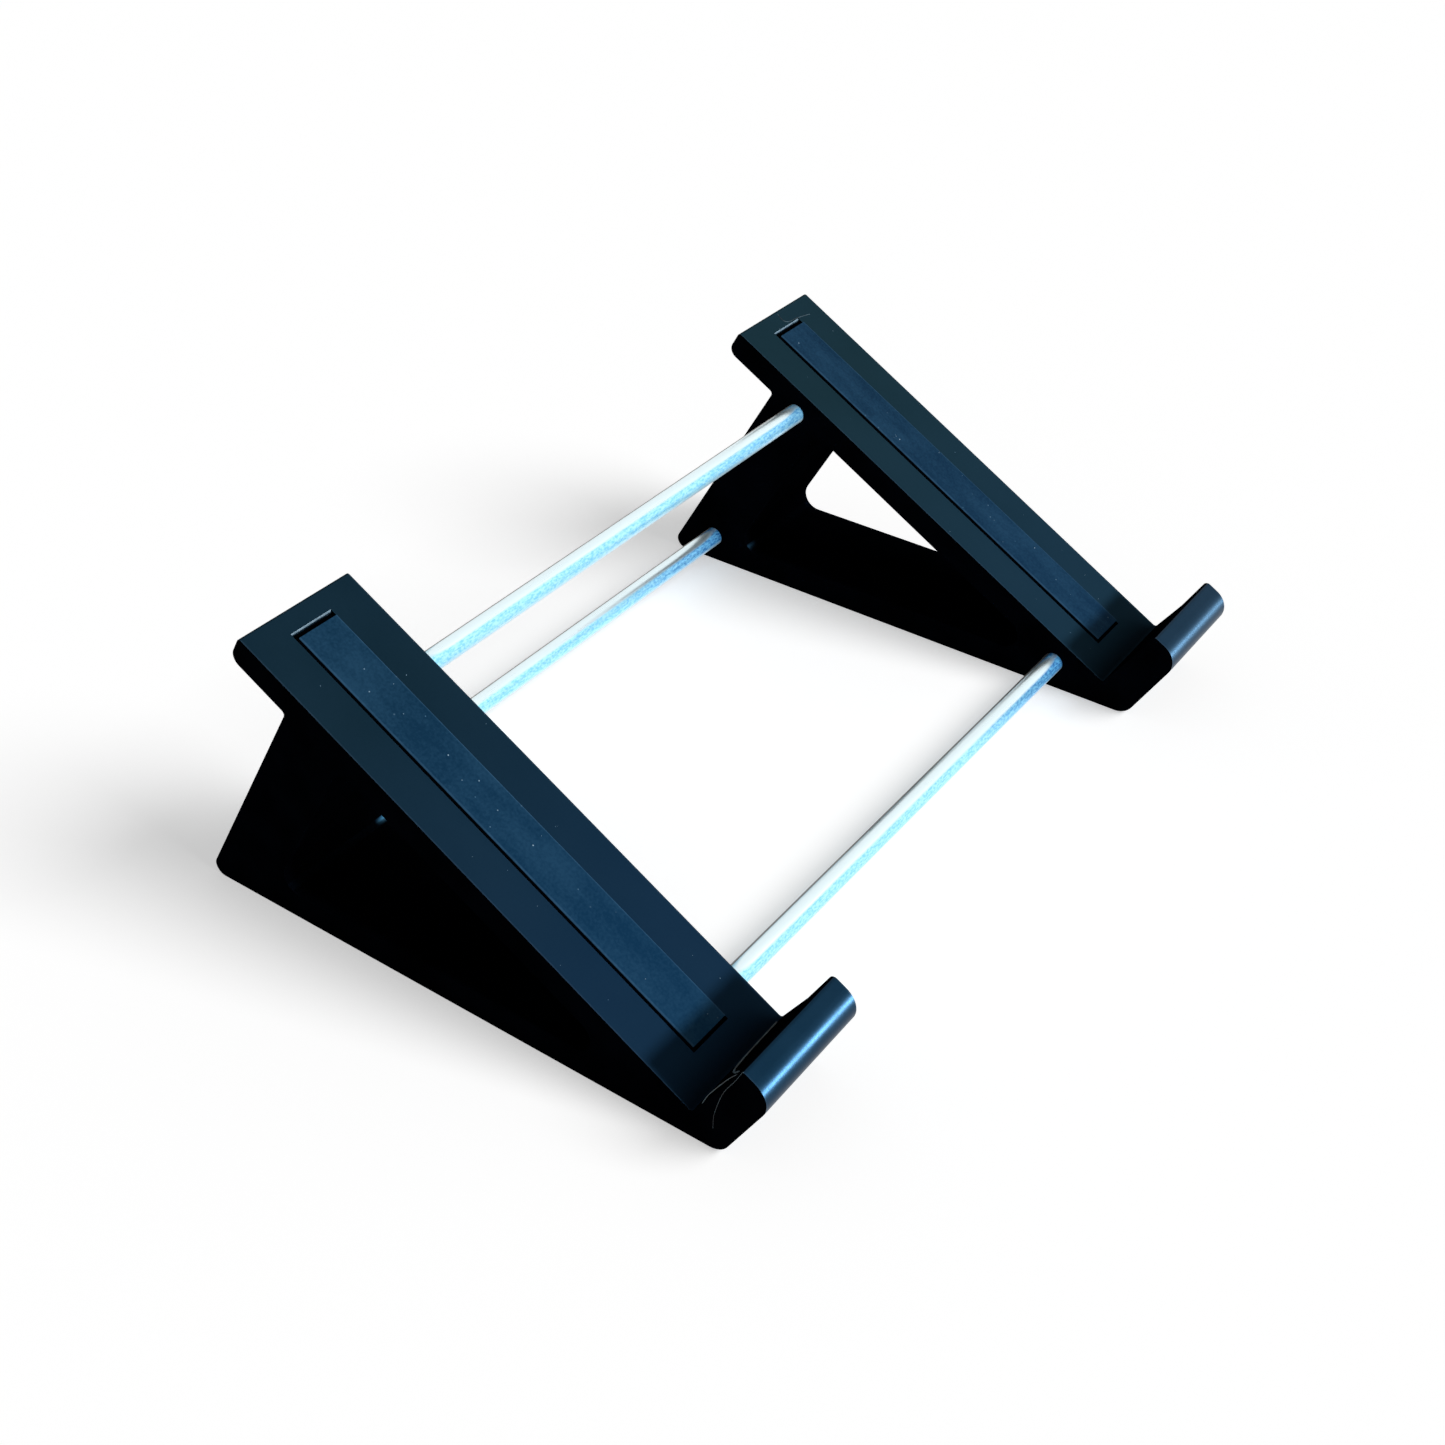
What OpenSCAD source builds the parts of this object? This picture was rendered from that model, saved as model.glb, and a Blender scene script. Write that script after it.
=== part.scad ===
// Desktop stand for a small synthesizer: two printed side brackets with sloping tops and front lips,
// held apart by three round rods, each bracket with a rubber grip strip along its slope.
// The origin is on the floor, under the middle of the whole stand.

/* [Overall] */
// Width over both side brackets (mm)
overall_w = 200; // [90:1:600]
// Width of each side bracket (mm)
bracket_w = 30; // [24:1:60]
// Angle between the sloping top and the floor (degrees)
slope_angle = 30; // [20:1:40]
// Length of the sloping top from the front face to the high end (mm)
slope_len = 135; // [115:1:260]

/* [Bracket bars] */
// Thickness of the sloping bar (mm)
slope_bar_t = 6.6; // [5:0.1:9]
// Thickness of the bar that lies on the floor (mm)
base_bar_t = 6.3; // [4:0.1:9]
// Thickness of the rear leg (mm)
leg_t = 15.2; // [12:0.1:24]
// Length of the sloping bar past the rear leg (mm)
overhang = 16; // [8:0.5:30]
// Height of the sloping top over the front floor corner, square to the slope (mm)
front_rise = 2.5; // [1:0.1:6]

/* [Lip] */
// Height of the lip above the sloping top (mm)
lip_h = 20.9; // [12:0.1:40]
// Thickness of the lip at its top (mm)
lip_t = 8.5; // [7:0.1:14]
// Extra thickness of the lip at its root (mm)
lip_root_extra = 0.8; // [0.2:0.1:3]

/* [Roundings] */
// Radius of the front floor corner (mm)
toe_r = 5; // [1:0.1:6]
// Radius of the rear floor corner (mm)
heel_r = 2.5; // [1:0.1:6]
// Radius of the inner corner between the leg and the overhang (mm)
notch_r = 1; // [0.5:0.1:4]
// Radius under the high end (mm)
end_under_r = 2.5; // [0.5:0.1:4]
// Radius on top of the high end (mm)
end_top_r = 0.8; // [0.3:0.1:2]
// Radius of the inner corner between the slope and the lip (mm)
root_r = 0.7; // [0.3:0.1:2]
// Radius of the lip's top back edge (mm)
lip_back_r = 1.2; // [0.5:0.1:1.8]
// Radius of the lip's top front edge (mm)
lip_front_r = 5; // [1:0.1:5.5]
// Radius in the three corners of the window (mm)
window_r = 4.2; // [1:0.1:6]

/* [Rods] */
// Diameter of the rods (mm)
rod_d = 5; // [3:0.1:6]
// Gap all round a rod in its socket (mm)
rod_gap = 0.05; // [0.02:0.01:0.1]
// Depth of the rod sockets (mm)
socket_depth = 20; // [8:1:22]
// Depth of the front and upper rods below the sloping top (mm)
rod_below_slope = 6.4; // [6:0.1:8]
// Height of the front and lower rods above the floor (mm)
rod_above_floor = 7.2; // [5.5:0.1:8]
// Distance of the upper rear rod ahead of the leg's middle (mm)
upper_rod_ahead = 0.3; // [0:0.1:2]
// Distance of the lower rear rod ahead of the leg's middle (mm)
lower_rod_ahead = 1; // [0:0.1:2]

/* [Grip strips] */
// Width of the grip strips (mm)
strip_w = 10.5; // [6:0.1:18]
// Thickness of the grip strips (mm)
strip_t = 2; // [1.2:0.1:2.6]
// Height of the strips above the sloping top (mm)
strip_proud = 0.8; // [0.2:0.1:1]
// Radius along the strips' top edges (mm)
strip_edge_r = 0.3; // [0.1:0.1:0.6]
// Distance from the lip's root to the strip's low end (mm)
strip_from_lip = 8; // [4:0.5:30]
// Distance from the strip's high end to the end of the slope (mm)
strip_from_end = 6.9; // [4:0.1:30]
// Gap between the strip and each side of its pocket (mm)
pocket_side_gap = 0.3; // [0.1:0.1:0.8]
// Gap between the strip and the low end of its pocket (mm)
pocket_low_gap = 0.8; // [0.3:0.1:2]
// Gap between the strip and the high end of its pocket (mm)
pocket_high_gap = 1.4; // [0.3:0.1:2]
// Size of the slanted edge at the pocket's high end (mm)
pocket_bevel = 0.5; // [0.1:0.1:0.7]

/* [Hidden] */
$fn = 96;

// How far a cut runs past the face it opens
past = 1;

// How far an arc stands past its two straight edges, so that they cross cleanly
arc_overlap = 0.002;

// How far an arc runs on past each of its ends, inside the outline (degrees)
arc_spare = 10;

// Colours of the three materials
plastic_colour = [0.06, 0.09, 0.11];
rubber_colour = [0.08, 0.2, 0.32];
rod_colour = [0.85, 0.89, 0.93];

// Slope coordinates: s runs up the slope from the front floor corner, n stands square to it.
under_n = front_rise - slope_bar_t;
lip_top_n = front_rise + lip_h;
lip_taper_n = front_rise + lip_h / 2;
lip_root_t = lip_t + lip_root_extra;
leg_rear_s = slope_len - overhang;
leg_front_s = leg_rear_s - leg_t;
leg_middle_s = leg_rear_s - leg_t / 2;
strip_low_s = lip_root_t + strip_from_lip;
strip_high_s = slope_len - strip_from_end;
pocket_low_s = strip_low_s - pocket_low_gap;
pocket_high_s = strip_high_s + pocket_high_gap;
pocket_floor_n = front_rise + strip_proud - strip_t;
pocket_w = strip_w + 2 * pocket_side_gap;

// Side view point [y, z] that lies s up the slope and n square to it
function on_slope(s, n) = [
    s * cos(slope_angle) - n * sin(slope_angle),
    s * sin(slope_angle) + n * cos(slope_angle)];

// Side view point at height z on the line n square to the slope
function slope_line_at(n, z) = [(z * cos(slope_angle) - n) / sin(slope_angle), z];

// Side view point at height z on the line s up the slope
function leg_line_at(s, z) = [(s - z * sin(slope_angle)) / cos(slope_angle), z];

// Corners of the bracket's outline, anticlockwise, each as [point, radius]
outline_corners = [
    [[0, 0], toe_r],
    [leg_line_at(leg_rear_s, 0), heel_r],
    [on_slope(leg_rear_s, under_n), notch_r],
    [on_slope(slope_len, under_n), end_under_r],
    [on_slope(slope_len, front_rise), end_top_r],
    [on_slope(lip_root_t, front_rise), root_r],
    [on_slope(lip_t, lip_taper_n), 0],
    [on_slope(lip_t, lip_top_n), lip_back_r],
    [on_slope(0, lip_top_n), lip_front_r]];

// Corners of the triangular window, anticlockwise
window_corners = [
    [slope_line_at(under_n, base_bar_t), window_r],
    [leg_line_at(leg_front_s, base_bar_t), window_r],
    [on_slope(leg_front_s, under_n), window_r]];

// Corners of the strip's cross-section, anticlockwise
strip_corners = [
    [[-strip_w / 2, pocket_floor_n], 0],
    [[strip_w / 2, pocket_floor_n], 0],
    [[strip_w / 2, pocket_floor_n + strip_t], strip_edge_r],
    [[-strip_w / 2, pocket_floor_n + strip_t], strip_edge_r]];

// Side view places of the rods' axes
front_rod = slope_line_at(front_rise - rod_below_slope, rod_above_floor);
upper_rod = on_slope(leg_middle_s - upper_rod_ahead, front_rise - rod_below_slope);
lower_rod = leg_line_at(leg_middle_s - lower_rod_ahead, rod_above_floor);

// Front and back of the whole bracket in side view, and the middle between them
front_y = on_slope(lip_front_r, lip_top_n - lip_front_r)[0] - lip_front_r;
heel_y = leg_line_at(leg_rear_s, 0)[0] - heel_r / tan((90 - slope_angle) / 2) + heel_r;
high_end_y = on_slope(slope_len - end_under_r, under_n + end_under_r)[0] + end_under_r;
middle_y = (front_y + max(heel_y, high_end_y)) / 2;

// Inner face of each bracket, and the rods' whole length
inner_x = overall_w / 2 - bracket_w;
rod_len = 2 * (inner_x + socket_depth);

// Direction from point a to point b
function toward(a, b) = (b - a) / norm(b - a);

// Corner number i of a closed outline, counted round past its ends
function corner_at(corners, i) = corners[(i + len(corners)) % len(corners)];

// Directions from corner i to the corners before and after it
function way_back(corners, i) = toward(corners[i][0], corner_at(corners, i - 1)[0]);
function way_on(corners, i) = toward(corners[i][0], corner_at(corners, i + 1)[0]);

// Half of the angle at corner i
function half_angle(corners, i) = acos(way_back(corners, i) * way_on(corners, i)) / 2;

// Distance from corner i to the points where its arc meets the two straight edges
function arc_reach(corners, i) = corners[i][1] / tan(half_angle(corners, i));

// Centre of the arc at corner i
function arc_centre(corners, i) =
    corners[i][0]
    + toward([0, 0], way_back(corners, i) + way_on(corners, i)) * corners[i][1] / sin(half_angle(corners, i));

// True where an anticlockwise outline turns inward
function turns_inward(corners, i) = cross(way_on(corners, i), way_back(corners, i)) < 0;

// Ends of the arc at corner i, or the corner itself where it is sharp
function arc_ends(corners, i) =
    corners[i][1] == 0
    ? [corners[i][0]]
    : [
        corners[i][0] + way_back(corners, i) * arc_reach(corners, i),
        corners[i][0] + way_on(corners, i) * arc_reach(corners, i)];

// Slice of a disc that rounds corner i, its point at the arc's centre
module corner_slice(corners, i) {
    centre = arc_centre(corners, i);
    outward = corners[i][0] - centre;
    half_turn = 90 - half_angle(corners, i) + arc_spare;
    far = 2 * corners[i][1];
    translate(centre)
        rotate(atan2(outward[1], outward[0]))
            intersection() {
                circle(r = corners[i][1] + arc_overlap);
                polygon([
                    [0, 0],
                    [far * cos(half_turn), -far * sin(half_turn)],
                    [far, -far],
                    [far, far],
                    [far * cos(half_turn), far * sin(half_turn)]]);
            }
}

// Closed outline with a true arc in each corner that has a radius
module rounded_outline(corners) {
    every = [0 : len(corners) - 1];
    difference() {
        union() {
            polygon([for (i = every) each arc_ends(corners, i)]);
            for (i = every)
                if (corners[i][1] > 0 && !turns_inward(corners, i))
                    corner_slice(corners, i);
        }
        for (i = every)
            if (corners[i][1] > 0 && turns_inward(corners, i))
                corner_slice(corners, i);
    }
}

// Puts slope coordinates [x, s, n] onto the stand
module along_slope() {
    translate([0, -middle_y, 0])
        rotate([slope_angle, 0, 0])
            children();
}

// Side view plate of the bracket, window and all, with its outer face at x = 0
module bracket_plate() {
    translate([0, -middle_y, 0])
        rotate([90, 0, 90])
            linear_extrude(bracket_w)
                difference() {
                    rounded_outline(outline_corners);
                    rounded_outline(window_corners);
                }
}

// Pocket for the grip strip, with a slanted edge at its high end
module strip_pocket() {
    along_slope()
        translate([(bracket_w - pocket_w) / 2, 0, 0]) {
            translate([0, pocket_low_s, pocket_floor_n])
                cube([pocket_w, pocket_high_s - pocket_low_s, strip_t + past]);
            translate([0, pocket_high_s - past, front_rise - pocket_bevel - past])
                rotate([90, 0, 90])
                    linear_extrude(pocket_w)
                        polygon([
                            [0, past],
                            [past, past],
                            [2 * past + pocket_bevel, 2 * past + pocket_bevel],
                            [0, 2 * past + pocket_bevel]]);
        }
}

// Blind hole for one rod, open on the bracket's inner face
module rod_socket(place) {
    translate([bracket_w - socket_depth, place[0] - middle_y, place[1]])
        rotate([0, 90, 0])
            cylinder(d = rod_d + 2 * rod_gap, h = socket_depth + past);
}

// Round rod across the stand, its ends on the bottoms of both sockets
module rod(place) {
    color(rod_colour)
        translate([-rod_len / 2, place[0] - middle_y, place[1]])
            rotate([0, 90, 0])
                cylinder(d = rod_d, h = rod_len);
}

// Left bracket: sloping bar, lip, rear leg and floor bar in one piece
module side_left() {
    color(plastic_colour)
        translate([-overall_w / 2, 0, 0])
            difference() {
                bracket_plate();
                strip_pocket();
                rod_socket(front_rod);
                rod_socket(upper_rod);
                rod_socket(lower_rod);
            }
}

// Right bracket, the left one's mirror image
module side_right() {
    mirror([1, 0, 0])
        side_left();
}

// Rubber strip in the left bracket's pocket
module grip_strip_left() {
    color(rubber_colour)
        translate([(bracket_w - overall_w) / 2, 0, 0])
            along_slope()
                translate([0, strip_high_s, 0])
                    rotate([90, 0, 0])
                        linear_extrude(strip_high_s - strip_low_s)
                            rounded_outline(strip_corners);
}

// Rubber strip in the right bracket's pocket
module grip_strip_right() {
    mirror([1, 0, 0])
        grip_strip_left();
}

// Rod in the top of the rear legs
module rod_rear_upper() {
    rod(upper_rod);
}

// Rod in the foot of the rear legs
module rod_rear_lower() {
    rod(lower_rod);
}

// Rod near the front floor corners
module rod_front() {
    rod(front_rod);
}

side_left();
side_right();
grip_strip_left();
grip_strip_right();
rod_rear_upper();
rod_rear_lower();
rod_front();
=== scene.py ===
# %% [markdown]
# # A tilted stand for a desktop synthesizer
# The real stand is seven pieces. Two printed plastic brackets are wedges with a triangular window
# and a hooked lip at the front. Three aluminium rods plug into them, and a soft rubber strip lies
# in a shallow pocket on each slope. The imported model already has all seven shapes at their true
# size, so this lesson is about light and finish: what the camera sees on plastic, rubber and drawn
# metal.

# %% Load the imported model
import math

import bpy
from mathutils import Matrix, Vector


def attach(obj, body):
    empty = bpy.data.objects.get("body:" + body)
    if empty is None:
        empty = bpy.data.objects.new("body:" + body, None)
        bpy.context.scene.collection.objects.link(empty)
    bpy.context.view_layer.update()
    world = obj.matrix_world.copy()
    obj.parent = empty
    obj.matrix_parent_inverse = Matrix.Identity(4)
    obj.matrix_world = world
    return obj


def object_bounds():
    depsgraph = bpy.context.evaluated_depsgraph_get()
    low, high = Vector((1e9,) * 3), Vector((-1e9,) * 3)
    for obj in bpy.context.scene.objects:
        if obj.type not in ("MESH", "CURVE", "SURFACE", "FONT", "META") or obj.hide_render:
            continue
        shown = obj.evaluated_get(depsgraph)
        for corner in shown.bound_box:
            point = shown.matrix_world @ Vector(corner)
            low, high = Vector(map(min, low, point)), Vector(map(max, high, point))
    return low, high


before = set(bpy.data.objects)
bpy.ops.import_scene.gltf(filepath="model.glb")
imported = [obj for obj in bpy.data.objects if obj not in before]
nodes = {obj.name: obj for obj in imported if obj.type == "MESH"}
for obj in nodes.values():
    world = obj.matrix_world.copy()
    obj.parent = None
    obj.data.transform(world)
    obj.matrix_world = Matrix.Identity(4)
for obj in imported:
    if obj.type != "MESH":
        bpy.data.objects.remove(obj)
cad_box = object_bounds()
scene = bpy.context.scene
print("pieces:", ", ".join(sorted(nodes)))
print("size in mm:", [round(1000 * side, 1) for side in cad_box[1] - cad_box[0]])

# %% [markdown]
# ## Measures
# Many details follow the slope that carries the instrument, so one helper turns a place on it into
# a point: how far across the stand, how far up the slope from the front foot, and how far square
# out of it.

# %% The slope's own directions
SLOPE = math.radians(30)
UP_SLOPE = Vector((0.0, math.cos(SLOPE), math.sin(SLOPE)))
OUT_OF_SLOPE = Vector((0.0, -math.sin(SLOPE), math.cos(SLOPE)))
FRONT_FOOT = Vector((0.0, -0.062855, 0.0))
SURFACE_RISE = 0.0025
BRACKET_MIDDLE = 0.085
BRACKET_HALF = 0.015


def on_slope(across, up, out=SURFACE_RISE):
    """The point that lies that far across, up the slope and out of it, in metres."""
    return FRONT_FOOT + Vector((across, 0.0, 0.0)) + UP_SLOPE * up + OUT_OF_SLOPE * out


left_strip_middle = on_slope(-BRACKET_MIDDLE, 0.0725)
print("middle of the left strip:", [round(1000 * part, 1) for part in left_strip_middle])

# %% [markdown]
# ## Camera
# The picture was taken from above the left front corner. The place, the aim and the lens come from
# matching the edges of the brackets, so the camera is set by three directions instead of by
# angles. A small lens shift puts the stand where the picture has it, and depth of field stays off.

# %% Camera
CAMERA_PLACE = Vector((-0.301182, -0.204284, 0.281623))
LOOKING = Vector((0.667876, 0.485603, -0.564031))
PICTURE_UP = Vector((0.457281, 0.330193, 0.825752))

camera_data = bpy.data.cameras.new("photo camera")
camera_data.lens = 48.523
camera_data.shift_x = 0.01636
camera_data.shift_y = -0.05163
camera_data.clip_start = 0.01
camera = bpy.data.objects.new("photo camera", camera_data)
right = LOOKING.cross(PICTURE_UP).normalized()
camera.matrix_world = Matrix.Translation(CAMERA_PLACE) @ Matrix(
    (right, right.cross(LOOKING).normalized(), -LOOKING.normalized())
).transposed().to_4x4()
scene.collection.objects.link(camera)
scene.camera = camera
camera_distance = (CAMERA_PLACE - Vector((0, 0, 0.03))).length
print("camera to the middle of the stand:", round(camera_distance, 3), "m")

# %% [markdown]
# ## Studio
# The slopes tell where the light was: the lip throws a straight shadow on each slope, so a long
# low window stood in front, and the floor has a soft shadow falling back, so a second soft light
# stood higher. A lamp far away lights everything evenly, so each light is a wide sun. The stand
# and the floor get their own lamps by light linking. One lamp to the right only makes the shine on
# the lips, and a very wide one over the floor makes the faint shade where the stand meets it.
# The white around the stand is the colour of the floor and the world as the camera and the
# reflections see them, and adds no light to the object.

# %% Lamps
WHITE_LIGHT = (1.0, 1.0, 1.0)
WINDOW_COLOUR = (0.80, 0.91, 1.0)
SHINE_COLOUR = (0.45, 0.75, 1.0)


def lit_by(name, objects):
    """A collection that a lamp may be limited to, so that it lights only these objects."""
    group = bpy.data.collections.new(name)
    for lit in objects:
        group.objects.link(lit)
    return group


def soft_sun(name, towards, strength, spread, colour, lights_only):
    """A lamp far away in that direction, as wide as the spread in degrees."""
    lamp = bpy.data.lights.new(name, "SUN")
    lamp.energy = strength
    lamp.angle = math.radians(spread)
    lamp.color = colour
    lamp_object = bpy.data.objects.new(name, lamp)
    lamp_object.matrix_world = Vector(towards).to_track_quat("Z", "Y").to_matrix().to_4x4()
    lamp_object.light_linking.receiver_collection = lights_only
    scene.collection.objects.link(lamp_object)
    return lamp_object


whole_stand = lit_by("whole stand", nodes.values())
brackets_only = lit_by("brackets", [nodes["side_left"], nodes["side_right"]])
soft_sun("window in front", (0.0, -0.90, 0.435), 2.89, 7, WINDOW_COLOUR, whole_stand)
soft_sun("soft light above the stand", (0.3, -1.0, 1.0), 0.58, 24, WHITE_LIGHT, whole_stand)
shine = soft_sun("shine from the right", (0.62, -0.785, 0.05), 23, 12, SHINE_COLOUR, brackets_only)
shine.visible_diffuse = False


# %% Node helpers
def node_tools(tree):
    """Two short ways to build a tree: add a node, and join a socket or a value to an input."""

    def add(kind, **settings):
        made = tree.nodes.new(kind)
        for name, value in settings.items():
            setattr(made, name, value)
        return made

    def join(source, target):
        if isinstance(source, bpy.types.NodeSocket):
            tree.links.new(source, target)
        else:
            target.default_value = source

    return add, join


def seen_ray(tree):
    """1 for what the camera, a reflection or a view through glass sees, and 0 for other light."""
    add, join = node_tools(tree)
    path = add("ShaderNodeLightPath")
    either = add("ShaderNodeMath", operation="MAXIMUM")
    join(path.outputs["Is Camera Ray"], either.inputs[0])
    join(path.outputs["Is Glossy Ray"], either.inputs[1])
    any_of = add("ShaderNodeMath", operation="MAXIMUM")
    join(either.outputs[0], any_of.inputs[0])
    join(path.outputs["Is Transmission Ray"], any_of.inputs[1])
    return any_of.outputs[0]


# %% World
WORLD_LIGHT = 0.06

world = bpy.data.worlds.new("white studio")
scene.world = world
world.use_nodes = True
add, join = node_tools(world.node_tree)
background = world.node_tree.nodes["Background"]
level = add("ShaderNodeMapRange")
join(seen_ray(world.node_tree), level.inputs["Value"])
join(WORLD_LIGHT, level.inputs["To Min"])
join(1.0, level.inputs["To Max"])
join((1.0, 1.0, 1.0, 1.0), background.inputs["Color"])
join(level.outputs["Result"], background.inputs["Strength"])
print("world:", world.name, "with light", WORLD_LIGHT)

# %% Floor
FLOOR_COLOUR = (0.85, 0.85, 0.85, 1.0)
FLOOR_LIFT = (0.488, 0.488, 0.488, 1.0)
FLOOR_GAP = 0.00002
REACH = 6

floor_mesh = bpy.data.meshes.new("floor")
floor_corners = [(-REACH, -REACH, 0), (REACH, -REACH, 0), (REACH, REACH, 0), (-REACH, REACH, 0)]
floor_mesh.from_pydata(floor_corners, [], [(0, 1, 2, 3)])
floor = bpy.data.objects.new("floor", floor_mesh)
scene.collection.objects.link(floor)
floor.location.z = cad_box[0].z - FLOOR_GAP
floor_finish = bpy.data.materials.new("white floor")
floor_finish.use_nodes = True
floor_finish.node_tree.nodes.clear()
add, join = node_tools(floor_finish.node_tree)
paint = add("ShaderNodeBsdfDiffuse")
join(FLOOR_COLOUR, paint.inputs["Color"])
lift = add("ShaderNodeEmission")
join(FLOOR_LIFT, lift.inputs["Color"])
join(seen_ray(floor_finish.node_tree), lift.inputs["Strength"])
both = add("ShaderNodeAddShader")
join(paint.outputs["BSDF"], both.inputs[0])
join(lift.outputs["Emission"], both.inputs[1])
join(both.outputs["Shader"], add("ShaderNodeOutputMaterial").inputs["Surface"])
floor_mesh.materials.append(floor_finish)
floor_only = lit_by("floor", [floor])
soft_sun("soft light above the floor", (0.29, -1.0, 0.97), 2.2, 31, WHITE_LIGHT, floor_only)
soft_sun("bright ceiling", (0.0, 0.0, 1.0), 0.2, 130, WHITE_LIGHT, floor_only)
scene.view_settings.view_transform = "Standard"
print("floor made, view transform:", scene.view_settings.view_transform)

# %% [markdown]
# ## Shared effects
# Some effects turn up in more than one finish, so each is a node group that is built once. *Fine
# streaks* is a noise drawn out along chosen directions: the lines of a printed face and the
# drawing marks of a rod. Another group finds the long edges of a strip or a bracket and paints a
# paler line along them, broken up by noise: a painted highlight, like the one a slightly rounded
# edge catches. *Dust specks* scatters small pale dots. *Slope fade* goes from the front to the back
# of the stand and *Far side* from the left bracket to the right one. Both paint into the colour the
# way the window light changes along them, so they are painted light. All of them read the object's
# own coordinates, so they stay on the piece from every side.


# %% Group helpers
def new_group(name, inputs, outputs):
    """An empty shader group with named sockets; each input has a value to start from."""
    tree = bpy.data.node_groups.new(name, "ShaderNodeTree")
    sockets = tree.interface
    for label, start in inputs.items():
        kind = "NodeSocketVector" if isinstance(start, tuple) else "NodeSocketFloat"
        sockets.new_socket(label, in_out="INPUT", socket_type=kind).default_value = start
    for label in outputs:
        sockets.new_socket(label, in_out="OUTPUT", socket_type="NodeSocketFloat")
    given = tree.nodes.new("NodeGroupInput").outputs
    return tree, given, tree.nodes.new("NodeGroupOutput").inputs


def sum_of(tree, operation, first, second=None, clamp=False):
    """The result of one sum on one or two values or sockets."""
    add, join = node_tools(tree)
    made = add("ShaderNodeMath", operation=operation, use_clamp=clamp)
    join(first, made.inputs[0])
    if second is not None:
        join(second, made.inputs[1])
    return made.outputs[0]


def part_each(tree, first, first_part, second, second_part):
    """Two values added up, each in its own share."""
    return sum_of(
        tree,
        "ADD",
        sum_of(tree, "MULTIPLY", first, first_part),
        sum_of(tree, "MULTIPLY", second, second_part),
    )


def ramp(tree, value, low, high, low_out=0.0, high_out=1.0):
    """The value turned from one range to another, held at both ends."""
    add, join = node_tools(tree)
    made = add("ShaderNodeMapRange")
    join(value, made.inputs["Value"])
    join(low, made.inputs["From Min"])
    join(high, made.inputs["From Max"])
    join(low_out, made.inputs["To Min"])
    join(high_out, made.inputs["To Max"])
    return made.outputs["Result"]


def own_place(tree):
    """The object's own coordinates, as one socket."""
    return tree.nodes.new("ShaderNodeTexCoord").outputs["Object"]


def split(tree, vector):
    """The X, Y and Z of a vector socket, found by those names."""
    parts = tree.nodes.new("ShaderNodeSeparateXYZ")
    tree.links.new(vector, parts.inputs[0])
    return parts.outputs


def along(tree, vector, direction):
    """How far a vector socket reaches in one direction."""
    add, join = node_tools(tree)
    reach = add("ShaderNodeVectorMath", operation="DOT_PRODUCT")
    join(vector, reach.inputs[0])
    join(direction, reach.inputs[1])
    return reach.outputs["Value"]


# %% Fine streaks
def build_fine_streaks():
    tree, given, result = new_group(
        "Fine streaks", {"Marks Per Metre": (1000.0, 1000.0, 1000.0), "Detail": 3.0}, ("Value",)
    )
    add, join = node_tools(tree)
    scaled = add("ShaderNodeVectorMath", operation="MULTIPLY")
    join(own_place(tree), scaled.inputs[0])
    join(given["Marks Per Metre"], scaled.inputs[1])
    noise = add("ShaderNodeTexNoise")
    join(scaled.outputs[0], noise.inputs["Vector"])
    join(1.0, noise.inputs["Scale"])
    join(given["Detail"], noise.inputs["Detail"])
    join(noise.outputs["Fac"], result["Value"])
    return tree


FINE_STREAKS = build_fine_streaks()
print("shared effect:", FINE_STREAKS.name)


# %% Painted highlight along edges
def build_edge_highlight():
    tree, given, result = new_group(
        "Edge line", {"Half Width": BRACKET_HALF, "Line Width": 0.0003, "Wear": 0.6}, ("Mask",)
    )
    add, join = node_tools(tree)
    place = own_place(tree)
    from_centre = sum_of(tree, "ABSOLUTE", split(tree, place)["X"])
    from_middle = sum_of(tree, "SUBTRACT", from_centre, BRACKET_MIDDLE)
    inwards = sum_of(tree, "SUBTRACT", given["Half Width"], sum_of(tree, "ABSOLUTE", from_middle))
    # The pale line near each long edge is a painted highlight, broken up by noise.
    line = ramp(tree, inwards, 0.0, given["Line Width"], 1.0, 0.0)
    noise = add("ShaderNodeTexNoise")
    join(place, noise.inputs["Vector"])
    join(420.0, noise.inputs["Scale"])
    broken = ramp(tree, noise.outputs["Fac"], 0.35, 0.65)
    patchy = sum_of(tree, "MULTIPLY", broken, given["Wear"])
    kept = sum_of(tree, "SUBTRACT", 1.0, sum_of(tree, "SUBTRACT", given["Wear"], patchy))
    join(sum_of(tree, "MULTIPLY", line, kept, clamp=True), result["Mask"])
    return tree


EDGE_HIGHLIGHT = build_edge_highlight()
print("shared effect:", EDGE_HIGHLIGHT.name)


# %% Dust specks
def build_dust_specks():
    tree, given, result = new_group(
        "Dust specks", {"Cells Per Metre": 700.0, "Share": 0.06, "Radius": 0.12}, ("Mask",)
    )
    add, join = node_tools(tree)
    cells = add("ShaderNodeTexVoronoi", feature="F1")
    join(own_place(tree), cells.inputs["Vector"])
    join(given["Cells Per Metre"], cells.inputs["Scale"])
    near = ramp(tree, cells.outputs["Distance"], given["Radius"], 0.0)
    chance = add("ShaderNodeSeparateColor")
    join(cells.outputs["Color"], chance.inputs[0])
    chosen = sum_of(tree, "LESS_THAN", chance.outputs["Red"], given["Share"])
    join(sum_of(tree, "MULTIPLY", near, chosen, clamp=True), result["Mask"])
    return tree


DUST_SPECKS = build_dust_specks()
print("shared effect:", DUST_SPECKS.name)


# %% Slope fade and far side
def build_slope_fade():
    tree, given, result = new_group("Slope fade", {"Start": -0.03, "End": 0.03}, ("Mask",))
    fade = ramp(tree, split(tree, own_place(tree))["Y"], given["Start"], given["End"])
    tree.links.new(fade, result["Mask"])
    return tree


INNER_FACE = 0.07


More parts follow.
